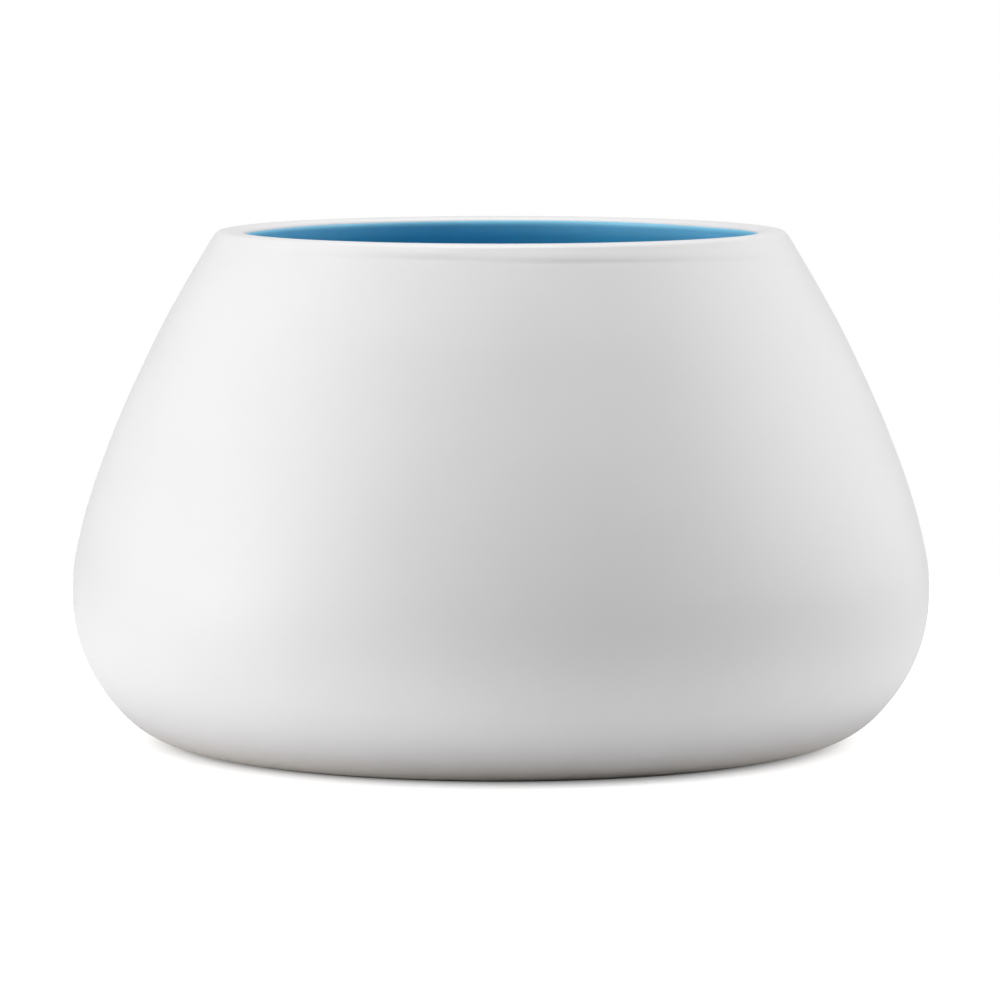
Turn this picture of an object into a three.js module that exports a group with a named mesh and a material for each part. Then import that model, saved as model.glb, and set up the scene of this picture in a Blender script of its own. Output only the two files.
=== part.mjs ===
// Yarn bowl: a squat stoneware bowl that narrows to a rolled lip, matt white outside and blue inside.
// Millimetres, +Z up. The origin is on the table under the middle of the bowl.
//
// The outline is a run of arcs that flow into each other. A heading is the way the outline points as it climbs the
// outside, in degrees: 0 runs outwards along the table, 90 straight up at the belly, 180 inwards over the lip.
import * as THREE from "three";

// Driving dimensions.
const BELLY_RADIUS = 85;
const BELLY_HEIGHT = 29.4; // the widest point above the foot ring's face
const LOWER_WALL = [ // down from the belly: [arc radius, heading where it ends]
  [33.2, 44.3],
  [20.5, 0],
];
const UPPER_WALL = [ // up from the belly
  [40, 101.5],
  [117, 110.7],
  [242, 122.6],
];
const LIP = [ // over the top: outer shoulder, then the two halves of the crown
  [1.5, 170],
  [10.5, 180],
  [8, 195],
];
const WALL = 5.4; // wall thickness with both glazes
const GLAZE = 0.35; // thickness of each glaze
const BOND_GAP = 0.02; // between a glaze or a pad and the clay, so that their facets don't cut into each other
const GLAZE_FOOT_HEADING = 12; // the white glaze stops here, just above the foot ring
const GLAZE_LINE_HEADING = 235; // white meets blue here, on the inner round of the lip
const FOOT_HEADING = 8; // the clay leaves the lower wall's arc here for the foot ring's edge
const FOOT_INNER_RADIUS = 56;
const RECESS_DEPTH = 1.2; // the base is this far above the foot ring's face
const RECESS_CHAMFER = 0.8; // where the recess meets the foot ring
const PAD_RADIUS = 6;
const PAD_PROUD = 0.2; // how far the pads stand below the foot ring
const PAD_EDGE = 0.5; // chamfer on the pad's lower edge
const PAD_CIRCLE_RADIUS = 46;
const PAD_COUNT = 4;

const ROUND_SEGMENTS = 48;
const PAD_SEGMENTS = 20;
const WALL_STEP = 11.5; // largest turn of one facet, in degrees
const WALL_STEP_LENGTH = 17; // longest facet along the wall
const LIP_STEP = 27;

const FOOT_Z = PAD_PROUD;
const BASE_Z = FOOT_Z + RECESS_DEPTH;

const material = (color, roughness) => new THREE.MeshStandardMaterial({ color, roughness, metalness: 0 });
const FIRED_CLAY = material(0xd9cfc1, 0.9);
const MATT_WHITE = material(0xf2f0f1, 0.55);
const BLUE_GLAZE = material(0x3f8fbd, 0.22);
const SILICONE = material(0xd8d9d6, 0.45);

// The outward normal of the outline at a heading.
function normalAt(heading) {
  const angle = THREE.MathUtils.degToRad(heading);
  return new THREE.Vector2(Math.sin(angle), -Math.cos(angle));
}

// Arcs that flow on from a point and heading, each with its centre and its headings in rising order.
function flow(start, heading, arcs, step) {
  let point = start;
  let from = heading;
  return arcs.map(([radius, to]) => {
    const centre = point.clone().addScaledVector(normalAt(from), -radius);
    const arc = { centre, radius, low: Math.min(from, to), high: Math.max(from, to), step };
    point = centre.clone().addScaledVector(normalAt(to), radius);
    from = to;
    return arc;
  });
}

// The outline's points between two headings, moved towards the clay by inset. Whole arcs are cut into equal facets
// and a heading inside an arc becomes a point of its own, so coats that share a face share its points.
function trace(arcs, inset, low, high, cuts = []) {
  const points = [];
  for (const arc of arcs) {
    const turn = arc.high - arc.low;
    const length = THREE.MathUtils.degToRad(turn) * arc.radius;
    const count = Math.max(Math.ceil(turn / arc.step), Math.ceil(length / WALL_STEP_LENGTH));
    const headings = Array.from({ length: count + 1 }, (_, i) => arc.low + (turn * i) / count);
    headings.push(...cuts.filter((cut) => cut > arc.low && cut < arc.high));
    headings.sort((a, b) => a - b);
    for (const heading of headings) {
      if (heading < low || heading > high) continue;
      const point = arc.centre.clone().addScaledVector(normalAt(heading), arc.radius - inset);
      if (!points.length || points.at(-1).distanceTo(point) > 1e-6) points.push(point);
    }
  }
  return points;
}

// The outside of the wall from the table up to the lip.
const belly = new THREE.Vector2(BELLY_RADIUS, FOOT_Z + BELLY_HEIGHT);
const wallArcs = [
  ...flow(belly, 90, LOWER_WALL, WALL_STEP).reverse(),
  ...flow(belly, 90, UPPER_WALL, WALL_STEP),
];
const wallTop = wallArcs.at(-1);
const lipEnd = wallTop.high + 180; // heading where the lip comes down onto the inner wall

// The lip. The radius of its inner round is what brings it down onto the inner wall.
function lipArcs() {
  const start = wallTop.centre.clone().addScaledVector(normalAt(wallTop.high), wallTop.radius);
  const crown = flow(start, wallTop.high, LIP, LIP_STEP);
  const crownEnd = crown.at(-1).high;
  const end = crown.at(-1).centre.clone().addScaledVector(normalAt(crownEnd), crown.at(-1).radius);
  const across = start.clone().sub(end).dot(normalAt(wallTop.high));
  const turnLeft = THREE.MathUtils.degToRad(lipEnd - crownEnd);
  const innerRound = (WALL - across) / (1 - Math.cos(turnLeft));
  return [...crown, ...flow(end, crownEnd, [[innerRound, lipEnd]], LIP_STEP)];
}

const outsideArcs = [...wallArcs, ...lipArcs()];
const insideArcs = wallArcs.map((arc) => ({ ...arc, radius: arc.radius - WALL }));
const CUTS = [FOOT_HEADING, GLAZE_FOOT_HEADING, GLAZE_LINE_HEADING];
const outside = (inset, low, high) => trace(outsideArcs, inset, low, high, CUTS);

// The inner wall from under the lip down to the middle of the floor.
function inside(inset) {
  const wall = trace(insideArcs, -inset, 0, wallTop.high).reverse();
  return [...wall, new THREE.Vector2(0, wall.at(-1).y)];
}

// A solid of revolution about +Z.
function turned(name, points, surface, segments = ROUND_SEGMENTS) {
  const geometry = new THREE.LatheGeometry(points, segments).rotateX(Math.PI / 2);
  const mesh = new THREE.Mesh(geometry, surface);
  mesh.name = name;
  return mesh;
}

function stonewareBody() {
  const clay = GLAZE + BOND_GAP;
  const wall = outside(clay, FOOT_HEADING, lipEnd);
  const footEdge = wall[0];
  const base = [
    new THREE.Vector2(0, BASE_Z),
    new THREE.Vector2(FOOT_INNER_RADIUS - RECESS_CHAMFER, BASE_Z),
    new THREE.Vector2(FOOT_INNER_RADIUS, BASE_Z - RECESS_CHAMFER),
    new THREE.Vector2(FOOT_INNER_RADIUS, FOOT_Z),
    new THREE.Vector2(footEdge.x - (footEdge.y - FOOT_Z), FOOT_Z),
  ];
  return turned("stoneware_body", [...base, ...wall, ...inside(clay).slice(1)], FIRED_CLAY);
}

function outerGlaze() {
  const face = outside(0, GLAZE_FOOT_HEADING, GLAZE_LINE_HEADING);
  const back = outside(GLAZE, GLAZE_FOOT_HEADING, GLAZE_LINE_HEADING).reverse();
  return turned("outer_matt_glaze", [...face, ...back, face[0]], MATT_WHITE);
}

function innerGlaze() {
  const face = [...outside(0, GLAZE_LINE_HEADING, lipEnd), ...inside(0).slice(1)];
  const back = [...outside(GLAZE, GLAZE_LINE_HEADING, lipEnd), ...inside(GLAZE).slice(1)].reverse();
  return turned("inner_blue_glaze", [...face, ...back, face[0]], BLUE_GLAZE);
}

// A low round pad with a chamfer round its lower edge.
function basePad(index) {
  const profile = [
    new THREE.Vector2(0, 0),
    new THREE.Vector2(PAD_RADIUS - PAD_EDGE, 0),
    new THREE.Vector2(PAD_RADIUS, PAD_EDGE),
    new THREE.Vector2(PAD_RADIUS, BASE_Z - BOND_GAP),
    new THREE.Vector2(0, BASE_Z - BOND_GAP),
  ];
  const pad = turned(`base_pad_${index + 1}`, profile, SILICONE, PAD_SEGMENTS);
  const angle = ((index + 0.5) / PAD_COUNT) * 2 * Math.PI;
  pad.position.set(PAD_CIRCLE_RADIUS * Math.cos(angle), PAD_CIRCLE_RADIUS * Math.sin(angle), 0);
  return pad;
}

const yarnBowl = new THREE.Group();
yarnBowl.add(stonewareBody(), outerGlaze(), innerGlaze());
for (let index = 0; index < PAD_COUNT; index += 1) yarnBowl.add(basePad(index));

export default yarnBowl;
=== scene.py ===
"""Yarn bowl: a squat stoneware bowl that narrows to a rolled lip, matt white outside and blue inside.

The finished surface is one outline turned about +Z. It starts at the foot ring, climbs the outside, goes over
the lip and comes down the inside to the middle of the floor. The white glaze covers it from just above the
foot ring to the glaze line just inside the lip, and the blue glaze covers the rest. The clay lies one glaze
thickness underneath.
"""

import math
from typing import NamedTuple

import bpy
import numpy as np
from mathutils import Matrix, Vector


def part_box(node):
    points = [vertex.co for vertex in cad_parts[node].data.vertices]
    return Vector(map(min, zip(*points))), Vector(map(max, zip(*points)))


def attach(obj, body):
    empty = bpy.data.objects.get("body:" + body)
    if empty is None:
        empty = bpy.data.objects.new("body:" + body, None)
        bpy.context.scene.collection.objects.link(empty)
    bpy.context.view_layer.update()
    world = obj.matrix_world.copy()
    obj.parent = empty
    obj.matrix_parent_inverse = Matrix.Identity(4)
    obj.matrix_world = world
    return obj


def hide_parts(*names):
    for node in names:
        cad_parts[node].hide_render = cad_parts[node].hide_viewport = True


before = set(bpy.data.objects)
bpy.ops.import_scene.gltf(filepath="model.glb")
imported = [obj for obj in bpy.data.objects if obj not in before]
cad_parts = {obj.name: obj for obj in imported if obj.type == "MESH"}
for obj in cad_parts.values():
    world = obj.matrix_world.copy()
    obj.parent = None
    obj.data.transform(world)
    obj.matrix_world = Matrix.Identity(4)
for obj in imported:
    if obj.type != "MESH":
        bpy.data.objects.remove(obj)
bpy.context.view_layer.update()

bl_info = {
    "name": "Yarn Bowl",
    "version": (1, 0, 0),
    "blender": (4, 5, 0),
    "location": "3D View > Sidebar > Yarn Bowl",
    "description": "Makes a stoneware yarn bowl with its two glazes and base pads, and a plain studio stage",
    "category": "Add Mesh",
}

BODY = "root"
MM = 0.001

# The frame gives the places, and the arcs are the bowl's own form. A heading is the way the outline points
# as it climbs the outside, in degrees: 0 outwards along the table, 90 straight up, 180 inwards over the lip.
WHITE_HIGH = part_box("outer_matt_glaze")[1]
BELLY_RADIUS = WHITE_HIGH.x
FOOT_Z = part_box("stoneware_body")[0].z
BELLY_HEIGHT = 29.4 * MM  # the widest point above the foot ring's face
RECESS_DEPTH = 1.2 * MM
BASE_Z = FOOT_Z + RECESS_DEPTH
FOOT_INNER_RADIUS = 56 * MM
# Runs of arcs, each arc with its radius and the heading where it ends.
LOWER_WALL = ((33.2 * MM, 44.3), (20.5 * MM, 0.0))  # down from the belly
UPPER_WALL = ((40 * MM, 101.5), (117 * MM, 110.7), (242 * MM, 122.6))  # up from the belly
LIP = ((1.5 * MM, 170.0), (10.5 * MM, 180.0), (8 * MM, 195.0))  # shoulder, then the two halves of the crown
SHOULDER_DROP = 0.83 * MM  # from the lip's top down to where its shoulder starts
FOOT_HEADING = 8.0  # the clay leaves the lower wall here for the foot ring's edge
WHITE_START_HEADING = 12.0  # the white glaze starts here
GLAZE_LINE_HEADING = 239.0  # white meets blue here, on the inner round of the lip
PADS = ("base_pad_1", "base_pad_2", "base_pad_3", "base_pad_4")

ARC_SAMPLES = 96
SAME_POINT = 1e-9  # samples closer than this are one point
COLUMNS = 320  # steps round the bowl
PAD_COLUMNS = 64
BACK_STRIDE = 5  # the hidden back of a glaze has one row for this many of its face
POLE_RADIUS = 0.5 * MM  # the bowl's meshes stop this far from the axis, and a pole closes them

# Soft strokes of the crease under the lip: middle and half width in degrees round the bowl from the front,
# drop below the lip's top in the middle and how much it grows per degree, and share of the full depth.
CREASE_STROKES = (
    (-30, 34, 2.6 * MM, 0.0, 0.8),
    (-16, 9, 2.6 * MM, 0.0, 0.45),
    (34, 50, 3.6 * MM, 0.018 * MM, 1.0),
    (116, 50, 3.4 * MM, 0.0, 0.7),
    (196, 44, 2.6 * MM, 0.0, 0.8),
    (262, 42, 3.1 * MM, 0.0, 0.6),
)
STROKE_STEEPNESS = 1.6  # how steeply a stroke comes in from its two ends
STROKE_WANDER = 0.12  # how far a stroke strays up and down, in millimetres
# The two bell curves of a stroke's section: height as a share of the stroke's depth, then middle and width in
# millimetres down from the stroke's line.
BEAD = (1.6, -1.0, 1.35)
GROOVE = (-0.7, 0.3, 0.6)

WALL_WAVE_HEIGHT, WALL_WAVE_LENGTH = 0.02 * MM, 23 * MM  # slow unevenness up the thrown wall
THROWING_RING_LENGTH = 7 * MM  # from one ring inside the bowl to the next
TURNED_RING_HEIGHT, TURNED_RING_LENGTH = 0.05 * MM, 2.6 * MM  # rings cut in the base
FOOT_EDGE = 0.6 * MM  # the white glaze rolls down to the clay over this
LINE_EDGE = 0.4 * MM  # and rounds off to the glaze line over this
BLUE_EDGE = 2.2 * MM  # the blue glaze comes up from the glaze line over this
WANDER_FALL = 0.8  # power of the number of turns by which a wandering line's waves weaken
WANDER_PEAK = 1.6  # its peaks over its usual height

FLOOR_SIZE = 0.6
PAINTED_FLOOR_GLOW = 0.85  # how bright the painted glow makes the table look to the camera beside the bowl
GLOW_START, GLOW_FULL = 62.5 * MM, 80 * MM  # the painted glow rises between these distances from the bowl's axis, which paints the soft shadow round the foot
SOFTBOX_REACH = 1.5  # from the bowl's middle
# Each softbox's turn from the front towards +X and its rise above level, in degrees, its width, and its power
# in watts.
SOFTBOXES = (
    ("left_softbox", -80, 30, 1.8, 7.8),
    ("low_left_softbox", -75, 3, 0.5, 6.3),
    ("front_left_softbox", -60, 20, 0.9, 5.0),
    ("right_softbox", 90, 25, 0.9, 10.2),
    ("back_right_softbox", 125, 12, 0.9, 4.5),
    ("overhead_softbox", 0, 89, 0.9, 17.6),
)

# ---- Settings a user would change --------------------------------------------------------------------


def length(name, description, default):
    """A setting in metres, never below zero."""
    return bpy.props.FloatProperty(
        name=name, description=description, default=default,
        min=0, precision=5, subtype="DISTANCE", unit="LENGTH",
    )


def colour(name, description, default):
    """A setting of red, green and blue shares."""
    return bpy.props.FloatVectorProperty(
        name=name, description=description, default=default, size=3, min=0, max=1, subtype="COLOR"
    )


def share(name, description, default):
    """A setting from zero to one."""
    return bpy.props.FloatProperty(
        name=name, description=description, default=default, min=0, max=1, subtype="FACTOR"
    )


class YarnBowlShape(bpy.types.PropertyGroup):
    wall: length("Wall", "Wall thickness with both glazes", 5.4 * MM)
    glaze: length("Glaze", "Thickness of each glaze", 0.35 * MM)
    line_step: length("Glaze line step", "How far the glazes dip where they meet", 0.05 * MM)
    line_dip: length("Glaze line dip", "How much lower the line between the glazes is at the sides", 0.3 * MM)
    line_wander: length("Glaze line wander", "How far the line between the glazes strays", 0.12 * MM)
    foot_wander: length("Foot line wander", "How far the white glaze's lower edge strays", 0.25 * MM)
    crease_depth: length("Crease depth", "Depth of the soft crease under the lip", 0.07 * MM)
    ring_height: length("Throwing rings", "Height of the faint rings inside", 0.03 * MM)


class YarnBowlFinish(bpy.types.PropertyGroup):
    white: colour("White glaze", "Colour of the matt white glaze", (0.84, 0.83, 0.835))
    # The warm white near the foot is partly thin glaze over the clay and partly painted warm bounce light
    # from the table.
    white_thin_and_painted_bounce: colour("Thin white and painted bounce", "The white glaze where it thins over the clay", (0.87, 0.82, 0.76))
    white_roughness: share("White roughness", "Roughness of the matt white glaze", 0.5)
    blue: colour("Blue glaze", "Colour of the blue glaze where it is thick", (0.10, 0.51, 0.75))
    # The light blue under the glaze line is partly thin glaze and partly painted light falling in at the
    # mouth.
    blue_thin_and_painted_light: colour("Thin blue and painted light", "The blue glaze where it thins at its edge", (0.29, 0.75, 0.98))
    blue_roughness: share("Blue roughness", "Roughness of the satin blue glaze", 0.42)
    clay: colour("Clay", "Colour of the bare fired clay", (0.58, 0.51, 0.43))
    silicone: colour("Silicone", "Colour of the base pads", (0.70, 0.71, 0.68))


class YarnBowlStage(bpy.types.PropertyGroup):
    camera_distance: length("Camera distance", "From the bowl's axis to the camera", 1212 * MM)
    camera_side: bpy.props.FloatProperty(
        name="Camera side", description="To the right of the bowl's axis", default=-0.2 * MM, unit="LENGTH"
    )
    camera_height: length("Camera height", "Above the table", 162.9 * MM)
    camera_tilt: bpy.props.FloatProperty(
        name="Camera tilt", description="Below level", default=math.radians(5.438),
        subtype="ANGLE", unit="ROTATION",
    )
    camera_lens: bpy.props.FloatProperty(
        name="Lens", description="Focal length on a 36 mm wide sensor", default=220.8, unit="CAMERA"
    )
    floor: colour("Floor", "Colour of the table", (0.81, 0.81, 0.81))
    ambient: bpy.props.FloatProperty(
        name="Ambient light", description="Strength of the even light from all round", default=0.0, min=0
    )


# ---- The outline -------------------------------------------------------------------------------------


def outward(heading):
    """The outward normal at a heading: its radial part is the sine and its upward part minus the cosine."""
    angle = np.radians(heading)
    return np.sin(angle), -np.cos(angle)


class Arc(NamedTuple):
    """A stretch of the outline: its centre, its radius, and the headings where it starts and ends."""

    r: float
    z: float
    radius: float
    start: float
    end: float

    def point(self, heading):
        """The centre plus the radius times the outward normal at the heading."""
        across, up = outward(heading)
        return self.r + self.radius * across, self.z + self.radius * up


def flow(point, heading, arcs):
    """Arcs that run on from a point, each tangent to the last, its centre one radius in from its start."""
    r, z = point
    made = []
    for radius, end in arcs:
        across, up = outward(heading)
        made.append(Arc(r - radius * across, z - radius * up, radius, heading, end))
        r, z = made[-1].point(end)
        heading = end
    return made


def bowl_arcs(wall):
    """The arcs of the outside, from the foot over the lip, and those of the inside, from the lip down.

    The inner wall has the outer wall's centres and radii less the wall thickness. The lip's last arc has the
    radius that brings it down onto the inner wall, half a turn from where the lip began.
    """
    belly = (BELLY_RADIUS, FOOT_Z + BELLY_HEIGHT)
    lower = [arc._replace(start=arc.end, end=arc.start) for arc in flow(belly, 90.0, LOWER_WALL)][::-1]
    rising = lower + flow(belly, 90.0, UPPER_WALL)
    wall_heading = rising[-1].end
    wall_end = rising[-1].point(wall_heading)
    crown = flow(wall_end, wall_heading, LIP)
    crown_heading = crown[-1].end
    crown_end = crown[-1].point(crown_heading)
    across, up = outward(wall_heading)
    used = (wall_end[0] - crown_end[0]) * across + (wall_end[1] - crown_end[1]) * up
    lip_heading = wall_heading + 180
    inner_round = (wall - used) / (1 - math.cos(math.radians(lip_heading - crown_heading)))
    outside = rising + crown + flow(crown_end, crown_heading, ((inner_round, lip_heading),))
    inside = [Arc(arc.r, arc.z, arc.radius - wall, arc.end, arc.start) for arc in rising[::-1]]
    return outside, inside


class Outline:
    """The finished surface's section: radius, height and free normal by distance s from the foot.

    It is kept as close samples. The point at distance s and depth d is the sample at s less d normals.
    """

    def __init__(self, wall):
        outside, inside = bowl_arcs(wall)
        outside[0] = outside[0]._replace(start=FOOT_HEADING)
        runs = [self.samples(arc, 1) for arc in outside] + [self.samples(arc, -1) for arc in inside]
        floor = runs[-1][:, -1:] * np.ones(ARC_SAMPLES)
        floor[0] *= np.linspace(1, 0, ARC_SAMPLES)
        samples = np.concatenate([*runs, floor], axis=1)
        step = np.hypot(*np.diff(samples[:2], axis=1))
        samples = samples[:, np.append(True, step > SAME_POINT)]
        self.r, self.z, self.normal_r, self.normal_z = samples
        self.s = np.append(0, np.cumsum(np.hypot(np.diff(self.r), np.diff(self.z))))
        self.end = self.s[-1]
        self.white_start = self.reach(outside, WHITE_START_HEADING)
        self.lip_top = self.reach(outside, 180.0)
        self.glaze_line = self.reach(outside, GLAZE_LINE_HEADING)
        self.floor_start = self.end - floor[0, 0]

    @staticmethod
    def samples(arc, side):
        """Points at even turns along the arc and their normals, outward for side 1, inward for side -1."""
        heading = np.linspace(arc.start, arc.end, ARC_SAMPLES)
        across, up = outward(heading)
        r, z = arc.point(heading)
        return np.array([r, z, side * across, side * up])

    @staticmethod
    def reach(arcs, heading):
        """The distance along the arcs to a heading: the sum of each arc's radius times its turn before it."""
        return sum(
            arc.radius * math.radians(min(max(heading, arc.start), arc.end) - arc.start) for arc in arcs
        )

    def at(self, s, depth):
        """Radius and height at distance s, depth under the finished surface."""
        across, up = np.interp(s, self.s, self.normal_r), np.interp(s, self.s, self.normal_z)
        return np.interp(s, self.s, self.r) - depth * across, np.interp(s, self.s, self.z) - depth * up


# ---- Waves, edges and meshes -------------------------------------------------------------------------


def smooth(x):
    """The smooth step: 0 below 0, 1 above 1, three x squared less two x cubed between."""
    x = np.clip(x, 0, 1)
    return x * x * (3 - 2 * x)


def bell(x, height, middle, width):
    """A bell curve: height times e to the power of minus the square of x's widths from the middle."""
    return height * np.exp(-(((x - middle) / width) ** 2))


def wander(around, seed, lowest=2, highest=9):
    """A slow closed wave of about unit height.

    It is a sum of sines of lowest to highest whole turns, weaker as they get quicker, their phases drawn by
    the seed, divided by its usual height.
    """
    rng = np.random.default_rng(seed)
    turns = np.arange(lowest, highest + 1)
    phase = rng.uniform(0, 2 * np.pi, turns.size)
    waves = np.sin(np.multiply.outer(around, turns) + phase) / turns**WANDER_FALL
    return waves.sum(-1) / np.sqrt((0.5 / turns ** (2 * WANDER_FALL)).sum()) / WANDER_PEAK


def stretches(*marks):
    """Values that run evenly through marks of (value, steps to the next mark), the last with no steps."""
    runs = [
        np.linspace(start, end, steps, endpoint=False)
        for (start, steps), (end, _) in zip(marks[:-1], marks[1:])
    ]
    return np.append(np.concatenate(runs), marks[-1][0])


def around_axis(columns):
    """Angles round the axis from the front, -Y, towards +X, in even steps."""
    return np.arange(columns) * 2 * np.pi / columns


def turned(r, z, around, centre=(0.0, 0.0)):
    """Points at radius r and height z, turned about a vertical axis by the angle around from -Y."""
    x = centre[0] + r * np.sin(around)
    y = centre[1] - r * np.cos(around)
    return np.stack(np.broadcast_arrays(x, y, z), -1)


def back_rows(s):
    """The hidden back's rows, from the far end of a glaze's face to its start: one for every BACK_STRIDE."""
    rows = s[::BACK_STRIDE][::-1].copy()
    rows[0] = s[-1]
    return rows


def grid_mesh(name, points, ring=False, attribute=None):
    """A closed mesh from points[i, j], i along the section and j round the axis, faces outwards.

    Neighbouring rows are joined by four-sided faces. A ring's last row joins its first; otherwise a fan of
    triangles closes each end on a pole in the middle of the end row.
    """
    rows, columns = points.shape[:2]
    index = np.arange(rows * columns).reshape(rows, columns)
    low = index if ring else index[:-1]
    high = np.roll(index, -1, axis=0)[: low.shape[0]]
    corners = [low, np.roll(low, -1, axis=1), np.roll(high, -1, axis=1), high]
    faces = np.stack(corners, -1).reshape(-1, 4).tolist()
    points = points.reshape(-1, 3)
    if not ring:
        first, last = index[0], index[-1]
        poles = [points[first].mean(0), points[last].mean(0)]
        start, end = len(points), len(points) + 1
        faces += np.stack([np.roll(first, -1), first, np.full(columns, start)], -1).tolist()
        faces += np.stack([last, np.roll(last, -1), np.full(columns, end)], -1).tolist()
        points = np.concatenate([points, poles])
    mesh = bpy.data.meshes.new(name)
    mesh.from_pydata(points.tolist(), [], faces)
    mesh.polygons.foreach_set("use_smooth", np.ones(len(mesh.polygons), bool))
    if attribute:
        label, values = attribute
        values = values.reshape(-1)
        values = np.append(values, [values[0], values[-1]]) if not ring else values
        mesh.attributes.new(label, "FLOAT", "POINT").data.foreach_set("value", values.astype(np.float32))
    mesh.validate()
    mesh.update()
    return mesh


def add_piece(name, mesh, material, node):
    """Puts the finished mesh in the scene in place of its CAD node."""
    piece = bpy.data.objects.new(name, mesh)
    bpy.context.scene.collection.objects.link(piece)
    mesh.materials.append(material)
    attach(piece, BODY)
    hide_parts(node)


def crease(outline, s, around, depth):
    """The soft crease under the lip, as height above the plain outline.

    Each stroke is a low bead above a narrow groove, two bell curves of the distance down from the stroke's
    line, and fades out at its two ends. The line keeps its drop below the lip's top, or slopes as it goes.
    """
    height = np.zeros(np.broadcast(s, around).shape)
    (shoulder_radius, shoulder_heading), (crown_radius, crown_heading) = LIP[:2]
    wall_heading = UPPER_WALL[-1][1]
    rise = math.cos(math.radians(wall_heading - 90))
    crown = crown_radius * math.radians(crown_heading - shoulder_heading)
    shoulder = shoulder_radius * math.radians(shoulder_heading - wall_heading)
    for middle, half, drop, slope, part in CREASE_STROKES:
        gap = (np.degrees(around) - middle + 180) % 360 - 180
        envelope = smooth(STROKE_STEEPNESS * (1 - np.abs(gap) / half))
        line = outline.lip_top - crown - shoulder - (drop + slope * gap - SHOULDER_DROP) / rise
        down = (line - s) / MM + STROKE_WANDER * wander(around, seed=7 + middle % 360)
        height += depth * part * envelope * (bell(down, *BEAD) + bell(down, *GROOVE))
    return height


# ---- Materials ---------------------------------------------------------------------------------------


def new_group(name, inputs, outputs):
    """An empty shader node group with its sockets, its input and output nodes already placed."""
    group = bpy.data.node_groups.new(name, "ShaderNodeTree")
    for label, default in inputs:
        socket = group.interface.new_socket(label, in_out="INPUT", socket_type="NodeSocketFloat")
        socket.default_value = default
    for label in outputs:
        group.interface.new_socket(label, in_out="OUTPUT", socket_type="NodeSocketFloat")
    return group, group.nodes.new("NodeGroupInput"), group.nodes.new("NodeGroupOutput")


def add_node(tree, kind, values=None, **settings):
    """A new node with its settings and the plain values of its input sockets."""
    node = tree.nodes.new(kind)
    for key, value in settings.items():
        setattr(node, key, value)
    for key, value in (values or {}).items():
        node.inputs[key].default_value = value
    return node


def glaze_grain_group():
    """Fired glaze: slow mottling of its tone, and a fine orange peel with pinholes for its bump."""
    name = "Glaze grain"
    if name in bpy.data.node_groups:
        return bpy.data.node_groups[name]
    inputs = (("Mottle per metre", 40.0), ("Peel per metre", 900.0), ("Pinhole per metre", 260.0))
    group, given, made = new_group(name, inputs, ("Mottle", "Height"))
    place = add_node(group, "ShaderNodeTexCoord").outputs["Object"]
    link = group.links.new
    mottle = add_node(group, "ShaderNodeTexNoise", {"Detail": 4.0, "Roughness": 0.55})
    peel = add_node(group, "ShaderNodeTexNoise", {"Detail": 3.0, "Roughness": 0.6})
    pinhole = add_node(group, "ShaderNodeTexVoronoi", {"Randomness": 1.0})
    for node, label in ((mottle, 0), (peel, 1), (pinhole, 2)):
        link(place, node.inputs["Vector"])
        link(given.outputs[label], node.inputs["Scale"])
    pit = add_node(
        group, "ShaderNodeMapRange", {"From Min": 0.03, "From Max": 0.12, "To Min": -1.0, "To Max": 0.0},
        interpolation_type="SMOOTHSTEP",
    )
    link(pinhole.outputs["Distance"], pit.inputs["Value"])
    height = add_node(group, "ShaderNodeMath", {1: 1.0}, operation="ADD")
    link(peel.outputs["Fac"], height.inputs[0])
    link(pit.outputs["Result"], height.inputs[1])
    link(mottle.outputs["Fac"], made.inputs["Mottle"])
    link(height.outputs["Value"], made.inputs["Height"])
    return group


def new_material(name):
    """A new material with its node tree and its surface shader."""
    material = bpy.data.materials.new(name)
    material.use_nodes = True
    return material, material.node_tree, material.node_tree.nodes["Principled BSDF"]


def rgba(values):
    """A colour with full opacity."""
    return (*values, 1.0)


def mix_colours(tree, factor, first, second):
    """A mix from the first plain colour to the second by a factor socket; returns its colour socket."""
    mix = add_node(tree, "ShaderNodeMix", {6: rgba(first), 7: rgba(second)}, data_type="RGBA")
    tree.links.new(factor, mix.inputs[0])
    return mix.outputs[2]


def brighten(tree, colour_socket, factor, amount):
    """The colour made up to amount lighter or darker by a factor from 0 to 1; returns its colour socket."""
    swing = add_node(tree, "ShaderNodeMapRange", {"To Min": 1 - amount, "To Max": 1 + amount})
    tree.links.new(factor, swing.inputs["Value"])
    scaled = add_node(tree, "ShaderNodeVectorMath", operation="SCALE")
    tree.links.new(colour_socket, scaled.inputs["Vector"])
    tree.links.new(swing.outputs["Result"], scaled.inputs["Scale"])
    return scaled.outputs["Vector"]


def grain_nodes(tree, mottle, peel, pinhole):
    """The fired glaze's grain, each kind at its own number per metre."""
    grain = add_node(tree, "ShaderNodeGroup", node_tree=glaze_grain_group())
    for label, value in (("Mottle", mottle), ("Peel", peel), ("Pinhole", pinhole)):
        grain.inputs[label + " per metre"].default_value = value
    return grain


def add_bump(tree, shader, height, distance):
    """Tilts the shader's normal as a relief would whose height socket counts in distance."""
    bump = add_node(tree, "ShaderNodeBump", {"Strength": 1.0, "Distance": distance})
    tree.links.new(height, bump.inputs["Height"])
    tree.links.new(bump.outputs["Normal"], shader.inputs["Normal"])


def edge_share(tree, reach, start=0.0):
    """1 from the coat's edge to start, falling to 0 at reach from it."""
    edge = add_node(tree, "ShaderNodeAttribute", attribute_name="edge_distance")
    fade = add_node(
        tree, "ShaderNodeMapRange", {"From Min": start, "From Max": reach, "To Min": 1.0, "To Max": 0.0},
        interpolation_type="SMOOTHSTEP",
    )
    tree.links.new(edge.outputs["Fac"], fade.inputs["Value"])
    return fade.outputs["Result"]


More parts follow.
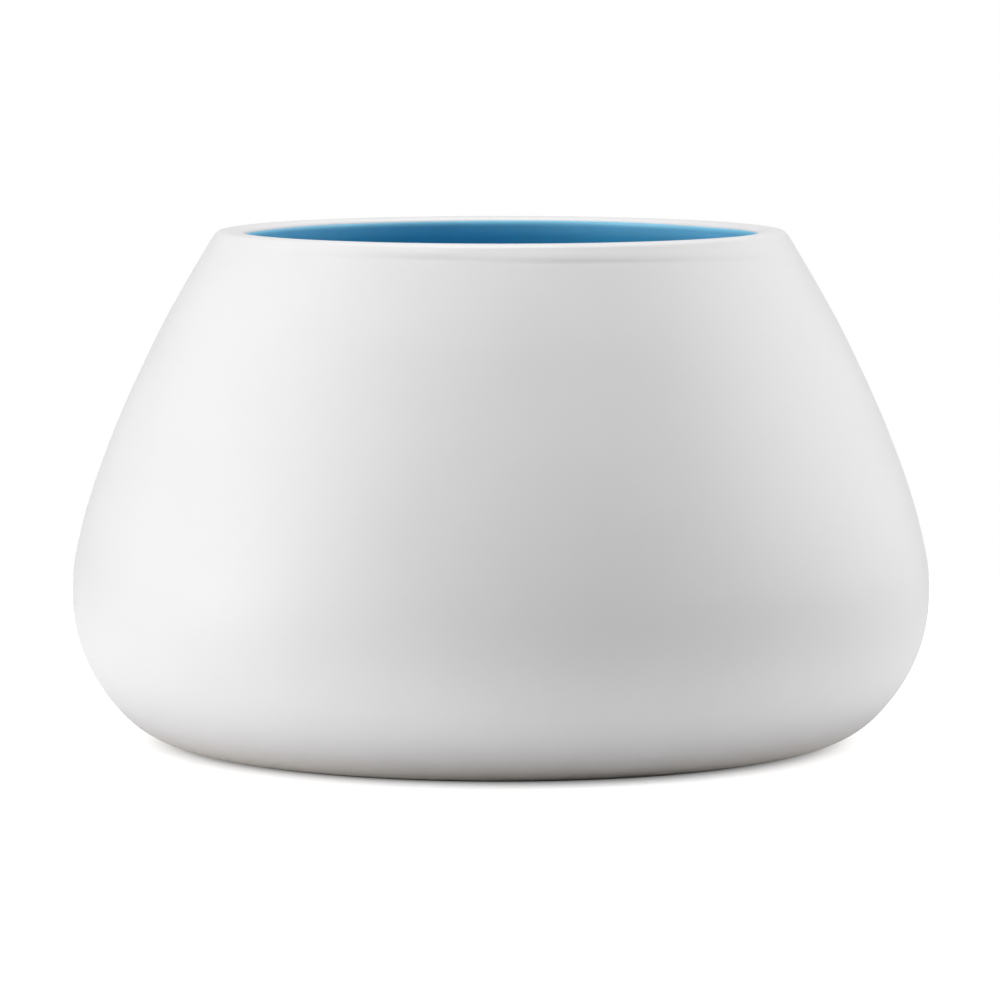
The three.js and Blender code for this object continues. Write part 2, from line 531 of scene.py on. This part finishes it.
def rough_by(tree, shader, factor, roughness, swing):
    """Roughness that swings about its middle value with the factor."""
    vary = add_node(tree, "ShaderNodeMapRange", {"To Min": roughness - swing, "To Max": roughness + swing})
    tree.links.new(factor, vary.inputs["Value"])
    tree.links.new(vary.outputs["Result"], shader.inputs["Roughness"])


def white_glaze_material(finish):
    """Matt white, warmer towards its foot where it thins over the clay and where painted warm bounce light
    from the table is laid in, mottled a little in tone and gloss.
    """
    material, tree, shader = new_material("Matt white glaze")
    grain = grain_nodes(tree, mottle=45.0, peel=1400.0, pinhole=240.0)
    # Share of the warm colour over the lowest 15 mm: thinning glaze plus painted warm bounce light from the
    # table.
    thin_and_painted_light = edge_share(tree, reach=15 * MM)
    tone = mix_colours(tree, thin_and_painted_light, finish.white, finish.white_thin_and_painted_bounce)
    tone = brighten(tree, tone, grain.outputs["Mottle"], amount=0.025)
    tree.links.new(tone, shader.inputs["Base Color"])
    rough_by(tree, shader, grain.outputs["Mottle"], finish.white_roughness, swing=0.06)
    add_bump(tree, shader, grain.outputs["Height"], distance=0.012 * MM)
    return material


def blue_glaze_material(finish):
    """Satin blue, lighter towards the glaze line where it thins and where painted light falling in at the
    mouth is laid in, mottled in tone.
    """
    material, tree, shader = new_material("Satin blue glaze")
    grain = grain_nodes(tree, mottle=60.0, peel=700.0, pinhole=180.0)
    # Share of the light blue below the glaze line: thinning glaze plus painted light near the mouth.
    thin_and_painted_light = edge_share(tree, reach=4.8 * MM, start=1.2 * MM)
    tone = mix_colours(tree, thin_and_painted_light, finish.blue, finish.blue_thin_and_painted_light)
    tone = brighten(tree, tone, grain.outputs["Mottle"], amount=0.12)
    tree.links.new(tone, shader.inputs["Base Color"])
    rough_by(tree, shader, grain.outputs["Mottle"], finish.blue_roughness, swing=0.05)
    add_bump(tree, shader, grain.outputs["Height"], distance=0.012 * MM)
    return material


def clay_material(finish):
    """Dry fired clay with darker specks of grog and a coarser grain."""
    material, tree, shader = new_material("Bare fired clay")
    grain = grain_nodes(tree, mottle=120.0, peel=1600.0, pinhole=500.0)
    place = add_node(tree, "ShaderNodeTexCoord").outputs["Object"]
    grog = add_node(tree, "ShaderNodeTexVoronoi", {"Scale": 900.0})
    tree.links.new(place, grog.inputs["Vector"])
    speck = add_node(
        tree, "ShaderNodeMapRange", {"From Min": 0.10, "From Max": 0.22, "To Min": 1.0, "To Max": 0.0}
    )
    tree.links.new(grog.outputs["Distance"], speck.inputs["Value"])
    dark = tuple(0.55 * part for part in finish.clay)
    tone = mix_colours(tree, speck.outputs["Result"], finish.clay, dark)
    tone = brighten(tree, tone, grain.outputs["Mottle"], amount=0.1)
    tree.links.new(tone, shader.inputs["Base Color"])
    rough_by(tree, shader, grain.outputs["Mottle"], roughness=0.88, swing=0.05)
    add_bump(tree, shader, grain.outputs["Height"], distance=0.05 * MM)
    return material


def silicone_material(finish):
    """Cloudy silicone: a faint haze in its tone, and light that scatters a millimetre or two inside it."""
    material, tree, shader = new_material("Cloudy silicone")
    grain = grain_nodes(tree, mottle=300.0, peel=2500.0, pinhole=400.0)
    haze = tuple(0.9 * part for part in finish.silicone)
    tone = mix_colours(tree, grain.outputs["Mottle"], finish.silicone, haze)
    tree.links.new(tone, shader.inputs["Base Color"])
    rough_by(tree, shader, grain.outputs["Mottle"], roughness=0.4, swing=0.08)
    shader.inputs["Subsurface Weight"].default_value = 0.3
    shader.inputs["Subsurface Radius"].default_value = (1.5 * MM, 1.5 * MM, 1.4 * MM)
    add_bump(tree, shader, grain.outputs["Height"], distance=0.01 * MM)
    return material


# ---- Pieces ------------------------------------------------------------------------------------------


def glaze_line_at(outline, shape, around):
    """Where white meets blue, as distance along the outline.

    It adds the dip times the sine squared of the angle, so the line is lower at the two sides, and a wander.
    """
    dip = shape.line_dip * np.sin(around) ** 2
    return outline.glaze_line + dip + shape.line_wander * wander(around, seed=3)


class MakeClayBody(bpy.types.Operator):
    """The fired clay: foot ring, recessed base and wall, one glaze thickness under the finished surface"""

    bl_idname = "yarn_bowl.clay_body"
    bl_label = "Clay Body"

    def execute(self, context):
        shape = context.scene.yarn_bowl_shape
        finish = context.scene.yarn_bowl_finish
        outline = Outline(shape.wall)
        around = around_axis(COLUMNS)
        base_r, base_z = self.base(outline, shape.glaze)
        marks = ((0, 30), (outline.lip_top, 24), (outline.floor_start, 4), (outline.end - POLE_RADIUS, 0))
        wall_r, wall_z = outline.at(stretches(*marks), shape.glaze)
        r = np.append(base_r, wall_r)[:, None]
        z = np.append(base_z, wall_z)[:, None] * np.ones(COLUMNS)
        z[: base_r.size] += self.turned_rings(base_r[:, None], around)
        mesh = grid_mesh("clay_body", turned(r, z, around))
        add_piece("clay_body", mesh, clay_material(finish), "stoneware_body")
        return {"FINISHED"}

    @staticmethod
    def base(outline, glaze):
        """The underside's section from near the axis: flat base, fillet, and foot ring with rounded corners.

        The fillet and the inner corner are quarter circles, and the outer corner rises with the square of the
        way along it.
        """
        fillet, corner = 0.8 * MM, 0.35 * MM
        edge_r, edge_z = outline.at(0.0, glaze)
        turn = np.linspace(0, np.pi / 2, 8)
        blend = np.linspace(0, 1, 8, endpoint=False)[1:]
        flat = np.linspace(POLE_RADIUS, FOOT_INNER_RADIUS - fillet, 90)
        foot = np.linspace(FOOT_INNER_RADIUS + corner, edge_r - corner - (edge_z - FOOT_Z), 12)
        r = [
            flat[:-1],
            flat[-1] + fillet * np.sin(turn),
            foot[0] - corner * np.cos(turn),
            foot[1:],
            foot[-1] + (edge_r - foot[-1]) * blend,
        ]
        z = [
            np.full(flat.size - 1, BASE_Z),
            BASE_Z - fillet * (1 - np.cos(turn)),
            FOOT_Z + corner * (1 - np.sin(turn)),
            np.full(foot.size - 1, FOOT_Z),
            FOOT_Z + (edge_z - FOOT_Z) * blend**2,
        ]
        return np.concatenate(r), np.concatenate(z)

    @staticmethod
    def turned_rings(r, around):
        """Rings cut in the base: a sine of the radius that winds once round per ring, gone at the foot."""
        calm = smooth((FOOT_INNER_RADIUS - 2 * MM - r) / (3 * MM))
        return TURNED_RING_HEIGHT * calm * np.sin(r / TURNED_RING_LENGTH * 2 * np.pi - around)


class MakeWhiteGlaze(bpy.types.Operator):
    """The matt white glaze from just above the foot ring up the wall and over the lip, with its crease"""

    bl_idname = "yarn_bowl.white_glaze"
    bl_label = "White Glaze"

    def execute(self, context):
        shape = context.scene.yarn_bowl_shape
        finish = context.scene.yarn_bowl_finish
        outline = Outline(shape.wall)
        around = around_axis(COLUMNS)
        share_up = stretches((0.0, 14), (0.008, 96), (0.91, 76), (0.994, 12), (1.0, 0))[:, None]
        start = outline.white_start + shape.foot_wander * wander(around, seed=5)
        line = glaze_line_at(outline, shape, around)
        s = start + share_up * (line - start)
        depth = self.foot_edge(s - start, shape.glaze) + self.line_edge(line - s, shape.line_step)
        depth -= crease(outline, s, around, shape.crease_depth)
        depth -= self.waves(outline, s, around)
        face = turned(*outline.at(s, depth), around)
        back = turned(*outline.at(back_rows(s)[:-1], shape.glaze), around)
        points = np.concatenate([face, back])
        edge = np.concatenate([s - start, np.zeros(back.shape[:2])])
        mesh = grid_mesh("white_glaze", points, ring=True, attribute=("edge_distance", edge))
        material = white_glaze_material(finish)
        add_piece("white_glaze", mesh, material, "outer_matt_glaze")
        return {"FINISHED"}

    @staticmethod
    def foot_edge(distance, glaze):
        """The lower edge rolls down to the clay as a quarter of an ellipse."""
        rest = 1 - np.clip(distance / FOOT_EDGE, 0, 1)
        return glaze * (1 - np.sqrt(1 - rest**2))

    @staticmethod
    def line_edge(distance, step):
        """At the glaze line the coat rounds off to the step's depth, by the square of the way to the line."""
        rest = 1 - np.clip(distance / LINE_EDGE, 0, 1)
        return step * rest**2

    @staticmethod
    def waves(outline, s, around):
        """Slow unevenness of the thrown wall: a sine up it that drifts on its way round, gone at its ends."""
        up = s / outline.lip_top
        calm = smooth(up * 6) * smooth((1 - up) * 8)
        drift = 0.6 * wander(around, seed=11, lowest=1, highest=4)
        return WALL_WAVE_HEIGHT * calm * np.sin(2 * np.pi * s / WALL_WAVE_LENGTH + drift)


class MakeBlueGlaze(bpy.types.Operator):
    """The satin blue glaze from the glaze line down the inner wall and over the floor, with throwing rings"""

    bl_idname = "yarn_bowl.blue_glaze"
    bl_label = "Blue Glaze"

    def execute(self, context):
        shape = context.scene.yarn_bowl_shape
        finish = context.scene.yarn_bowl_finish
        outline = Outline(shape.wall)
        around = around_axis(COLUMNS)
        share_down = stretches((0.0, 30), (0.02, 150), (0.65, 60), (1.0, 0))[:, None]
        line = glaze_line_at(outline, shape, around)
        s = line + share_down * (outline.end - POLE_RADIUS - line)
        below = s - line
        depth = shape.line_step * (1 - smooth(below / BLUE_EDGE))
        depth -= self.rings(outline, s, below, around, shape.ring_height)
        face = turned(*outline.at(s, depth), around)
        back = turned(*outline.at(back_rows(s), shape.glaze), around)
        points = np.concatenate([back, face])
        edge = np.concatenate([np.zeros(back.shape[:2]), below])
        mesh = grid_mesh("blue_glaze", points, attribute=("edge_distance", edge))
        add_piece("blue_glaze", mesh, blue_glaze_material(finish), "inner_blue_glaze")
        return {"FINISHED"}

    @staticmethod
    def rings(outline, s, below, around, height):
        """Throwing rings: a sine that winds once round per ring, fading out at the lip and in the middle."""
        calm = smooth((below - 8 * MM) / (14 * MM)) * smooth((outline.end - s) / (25 * MM))
        drift = 0.5 * wander(around, seed=17, lowest=1, highest=5)
        return height * calm * np.sin(2 * np.pi * s / THROWING_RING_LENGTH + around + drift)


class MakeBasePads(bpy.types.Operator):
    """The silicone pads in the base's recess, each a low disc with rounded edges"""

    bl_idname = "yarn_bowl.base_pads"
    bl_label = "Base Pads"

    def execute(self, context):
        material = silicone_material(context.scene.yarn_bowl_finish)
        around = around_axis(PAD_COLUMNS)
        for node in PADS:
            low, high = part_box(node)
            centre = (low + high) / 2
            r, z = self.section((high.x - low.x) / 2, low.z, high.z)
            mesh = grid_mesh(node, turned(r[:, None], z[:, None], around, centre))
            add_piece("silicone_" + node, mesh, material, node)
        return {"FINISHED"}

    @staticmethod
    def section(radius, low, high):
        """Flat underside, a quarter circle round its edge, a straight side and a smaller round on top."""
        lower, upper, inner = 0.5 * MM, 0.2 * MM, 0.4 * MM
        turn = np.linspace(0, np.pi / 2, 9)
        flat = np.linspace(inner, radius - lower, 7)[:-1]
        r = [
            flat,
            radius - lower + lower * np.sin(turn),
            radius - upper + upper * np.cos(turn),
            flat[::-1],
        ]
        z = [
            np.full(flat.size, low),
            low + lower * (1 - np.cos(turn)),
            high - upper + upper * np.sin(turn),
            np.full(flat.size, high),
        ]
        return np.concatenate(r), np.concatenate(z)


# ---- Stage -------------------------------------------------------------------------------------------


class MakeStage(bpy.types.Operator):
    """The camera, the softboxes, the white surroundings and the pale table"""

    bl_idname = "yarn_bowl.stage"
    bl_label = "Stage"

    def execute(self, context):
        scene, stage = context.scene, context.scene.yarn_bowl_stage
        scene.view_settings.view_transform = "Standard"
        add_camera(scene, stage)
        add_floor(scene, stage)
        add_surroundings(scene, stage)
        for softbox in SOFTBOXES:
            add_softbox(scene, *softbox)
        return {"FINISHED"}


def add_camera(scene, stage):
    """The camera in front of the bowl, turned down from level by its tilt."""
    data = bpy.data.cameras.new("camera")
    data.sensor_width = 36
    data.lens = stage.camera_lens
    camera = bpy.data.objects.new("camera", data)
    scene.collection.objects.link(camera)
    camera.location = (stage.camera_side, -stage.camera_distance, stage.camera_height)
    camera.rotation_euler = (math.pi / 2 - stage.camera_tilt, 0, 0)
    scene.camera = camera


def add_floor(scene, stage):
    """The table: one square face with its middle under the bowl."""
    half = FLOOR_SIZE / 2
    corners = [(-half, -half, 0), (half, -half, 0), (half, half, 0), (-half, half, 0)]
    mesh = bpy.data.meshes.new("floor")
    mesh.from_pydata(corners, [], [(0, 1, 2, 3)])
    mesh.materials.append(floor_material(stage))
    floor = bpy.data.objects.new("floor", mesh)
    scene.collection.objects.link(floor)


def floor_material(stage):
    """A matt table with a painted glow for the camera only, which rises outwards from the foot as a square
    root and so paints the soft shadow round the bowl.
    """
    material, tree, shader = new_material("Pale floor")
    shader.inputs["Base Color"].default_value = rgba(stage.floor)
    shader.inputs["Roughness"].default_value = 1.0
    shader.inputs["Specular IOR Level"].default_value = 0.0
    shader.inputs["Emission Color"].default_value = rgba((1, 1, 1))
    away = add_node(tree, "ShaderNodeVectorMath", operation="LENGTH")
    tree.links.new(add_node(tree, "ShaderNodeTexCoord").outputs["Object"], away.inputs["Vector"])
    rise = add_node(tree, "ShaderNodeMapRange", {"From Min": GLOW_START, "From Max": GLOW_FULL})
    tree.links.new(away.outputs["Value"], rise.inputs["Value"])
    root = add_node(tree, "ShaderNodeMath", {1: 0.5}, operation="POWER")
    tree.links.new(rise.outputs["Result"], root.inputs[0])
    seen = add_node(tree, "ShaderNodeMath", {1: PAINTED_FLOOR_GLOW}, operation="MULTIPLY")
    tree.links.new(add_node(tree, "ShaderNodeLightPath").outputs["Is Camera Ray"], seen.inputs[0])
    glow = add_node(tree, "ShaderNodeMath", operation="MULTIPLY")
    tree.links.new(root.outputs["Value"], glow.inputs[0])
    tree.links.new(seen.outputs["Value"], glow.inputs[1])
    # Painted light: the camera sees this glow, and its fall towards the foot is a painted soft shadow.
    tree.links.new(glow.outputs["Value"], shader.inputs["Emission Strength"])
    return material


def add_surroundings(scene, stage):
    """White for the camera, and the ambient setting's even light on everything else."""
    world = bpy.data.worlds.new("surroundings")
    world.use_nodes = True
    scene.world = world
    tree = world.node_tree
    background = tree.nodes["Background"]
    background.inputs["Color"].default_value = rgba((1, 1, 1))
    strength = add_node(tree, "ShaderNodeMapRange", {"To Min": stage.ambient, "To Max": 1.0})
    tree.links.new(add_node(tree, "ShaderNodeLightPath").outputs["Is Camera Ray"], strength.inputs["Value"])
    tree.links.new(strength.outputs["Result"], background.inputs["Strength"])


def add_softbox(scene, name, turn, rise, width, watts):
    """A square light SOFTBOX_REACH from the bowl's middle and facing it, by its turn and rise in degrees."""
    data = bpy.data.lights.new(name, "AREA")
    data.shape = "SQUARE"
    data.size = width
    data.energy = watts
    light = bpy.data.objects.new(name, data)
    light.visible_camera = False
    scene.collection.objects.link(light)
    turn, rise = math.radians(turn), math.radians(rise)
    middle = Vector((0, 0, WHITE_HIGH.z / 2))
    towards = Vector((math.sin(turn) * math.cos(rise), -math.cos(turn) * math.cos(rise), math.sin(rise)))
    light.location = middle + SOFTBOX_REACH * towards
    light.rotation_euler = (-towards).to_track_quat("-Z", "Y").to_euler()


class YarnBowlPanel(bpy.types.Panel):
    """Lists the bowl's pieces and settings in the sidebar"""

    bl_idname = "VIEW3D_PT_yarn_bowl"
    bl_label = "Yarn Bowl"
    bl_space_type = "VIEW_3D"
    bl_region_type = "UI"
    bl_category = "Yarn Bowl"

    def draw(self, context):
        for operator in OPERATORS:
            self.layout.operator(operator.bl_idname)
        for label in SETTINGS:
            box = self.layout.box()
            group = getattr(context.scene, label)
            for key in group.__annotations__:
                box.prop(group, key)


SETTINGS = {
    "yarn_bowl_shape": YarnBowlShape,
    "yarn_bowl_finish": YarnBowlFinish,
    "yarn_bowl_stage": YarnBowlStage,
}
OPERATORS = (MakeStage, MakeClayBody, MakeWhiteGlaze, MakeBlueGlaze, MakeBasePads)


def register():
    """Makes the settings, the operators and the panel known, and gives every scene its settings."""
    for cls in (*SETTINGS.values(), *OPERATORS, YarnBowlPanel):
        bpy.utils.register_class(cls)
    for label, cls in SETTINGS.items():
        setattr(bpy.types.Scene, label, bpy.props.PointerProperty(type=cls))


def unregister():
    """Takes back what register did."""
    for label in SETTINGS:
        delattr(bpy.types.Scene, label)
    for cls in (YarnBowlPanel, *reversed(OPERATORS), *SETTINGS.values()):
        bpy.utils.unregister_class(cls)


def main():
    """Makes the stage and every piece."""
    register()
    bpy.ops.yarn_bowl.stage()
    bpy.ops.yarn_bowl.clay_body()
    bpy.ops.yarn_bowl.white_glaze()
    bpy.ops.yarn_bowl.blue_glaze()
    bpy.ops.yarn_bowl.base_pads()


if __name__ == "__main__":
    main()
